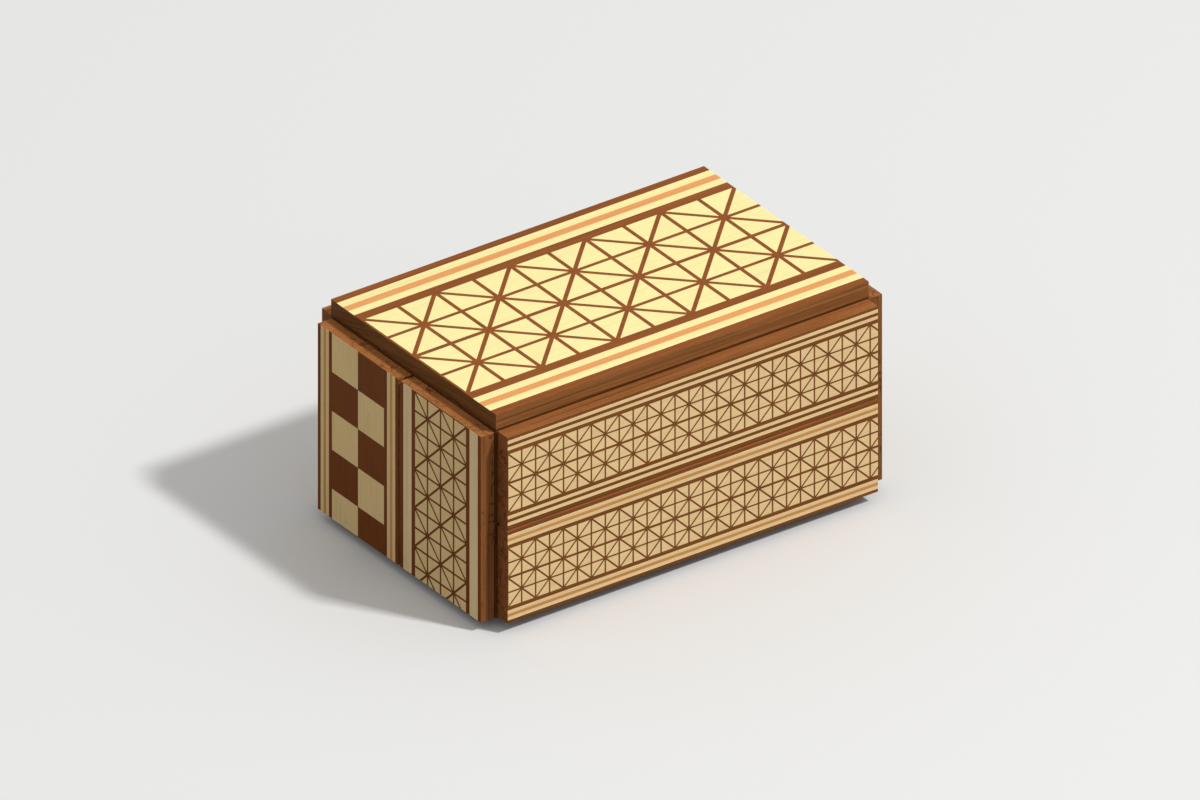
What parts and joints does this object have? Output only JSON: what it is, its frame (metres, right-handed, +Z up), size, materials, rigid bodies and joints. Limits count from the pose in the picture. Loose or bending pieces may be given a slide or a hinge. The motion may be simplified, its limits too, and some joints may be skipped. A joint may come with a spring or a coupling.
{
  "type": "puzzle box",
  "caption": "Oblong wooden secret box with marquetry faces; its sliding slabs shift along the sides and ends, and the lid slides off to one end.",
  "frame": {"origin": "centre of the base's underside, which is the bottom centre of the bounding box", "axes": "+X along the box to its right end, +Y from the front to the back, +Z up"},
  "size_m": [0.155, 0.1006, 0.0774],
  "materials": {
    "core_wood": "satin",
    "slab_wood": "satin",
    "runner_wood": "waxed",
    "dark_wood": "satin",
    "light_wood": "satin",
    "tan_wood": "satin",
    "orange_wood": "satin",
    "pale_wood": "satin"
  },
  "bodies": {
    "core": {"front_wall": "core_wood", "back_wall": "core_wood", "left_wall": "core_wood", "right_wall": "core_wood", "floor_board": "core_wood", "base_plate": "core_wood", "front_lid_rail": "runner_wood", "back_lid_rail": "runner_wood"},
    "lid_slab": {"lid_board": "slab_wood", "lid_dark_strips": "dark_wood", "lid_lattice": "dark_wood", "lid_light_inlay": "light_wood", "lid_orange_strips": "orange_wood"},
    "front_upper_slab": {"front_upper_board": "slab_wood", "front_upper_dark_strips": "dark_wood", "front_upper_lattice": "dark_wood", "front_upper_light_inlay": "light_wood", "front_upper_runner": "runner_wood"},
    "front_lower_slab": {"front_lower_board": "slab_wood", "front_lower_dark_strips": "dark_wood", "front_lower_lattice": "dark_wood", "front_lower_light_inlay": "light_wood", "front_lower_runner": "runner_wood", "front_lower_tan_strips": "tan_wood"},
    "back_upper_slab": {"back_upper_board": "slab_wood", "back_upper_dark_strips": "dark_wood", "back_upper_lattice": "dark_wood", "back_upper_light_inlay": "light_wood", "back_upper_runner": "runner_wood"},
    "back_lower_slab": {"back_lower_board": "slab_wood", "back_lower_dark_strips": "dark_wood", "back_lower_lattice": "dark_wood", "back_lower_light_inlay": "light_wood", "back_lower_runner": "runner_wood", "back_lower_tan_strips": "tan_wood"},
    "left_lattice_slab": {"left_lattice_board": "slab_wood", "left_lattice_dark_strips": "dark_wood", "left_lattice_lattice": "dark_wood", "left_lattice_light_inlay": "light_wood", "left_lattice_pale_strips": "pale_wood", "left_lattice_runner": "runner_wood"},
    "left_check_slab": {"left_check_board": "slab_wood", "left_check_dark_squares": "dark_wood", "left_check_dark_strips": "dark_wood", "left_check_light_inlay": "light_wood", "left_check_runner": "runner_wood", "left_check_tan_strips": "tan_wood"},
    "right_lattice_slab": {"right_lattice_board": "slab_wood", "right_lattice_dark_strips": "dark_wood", "right_lattice_lattice": "dark_wood", "right_lattice_light_inlay": "light_wood", "right_lattice_pale_strips": "pale_wood", "right_lattice_runner": "runner_wood"},
    "right_check_slab": {"right_check_board": "slab_wood", "right_check_dark_squares": "dark_wood", "right_check_dark_strips": "dark_wood", "right_check_light_inlay": "light_wood", "right_check_runner": "runner_wood", "right_check_tan_strips": "tan_wood"}
  },
  "joints": [
    {"name": "lid_slide", "type": "slide", "parent": "core", "child": "lid_slab", "axis": [-1, 0, 0], "range_m": [0, 0.13]},
    {"name": "front_upper_slide", "type": "slide", "parent": "core", "child": "front_upper_slab", "axis": [1, 0, 0], "range_m": [0, 0.00605]},
    {"name": "front_lower_slide", "type": "slide", "parent": "core", "child": "front_lower_slab", "axis": [-1, 0, 0], "range_m": [0, 0.00605]},
    {"name": "back_upper_slide", "type": "slide", "parent": "core", "child": "back_upper_slab", "axis": [-1, 0, 0], "range_m": [0, 0.00605]},
    {"name": "back_lower_slide", "type": "slide", "parent": "core", "child": "back_lower_slab", "axis": [1, 0, 0], "range_m": [0, 0.00605]},
    {"name": "left_lattice_drop", "type": "slide", "parent": "core", "child": "left_lattice_slab", "axis": [0, 0, -1], "range_m": [0, 0.0031]},
    {"name": "left_check_drop", "type": "slide", "parent": "core", "child": "left_check_slab", "axis": [0, 0, -1], "range_m": [0, 0.0031]},
    {"name": "right_lattice_drop", "type": "slide", "parent": "core", "child": "right_lattice_slab", "axis": [0, 0, -1], "range_m": [0, 0.0031]},
    {"name": "right_check_drop", "type": "slide", "parent": "core", "child": "right_check_slab", "axis": [0, 0, -1], "range_m": [0, 0.0031]}
  ]
}
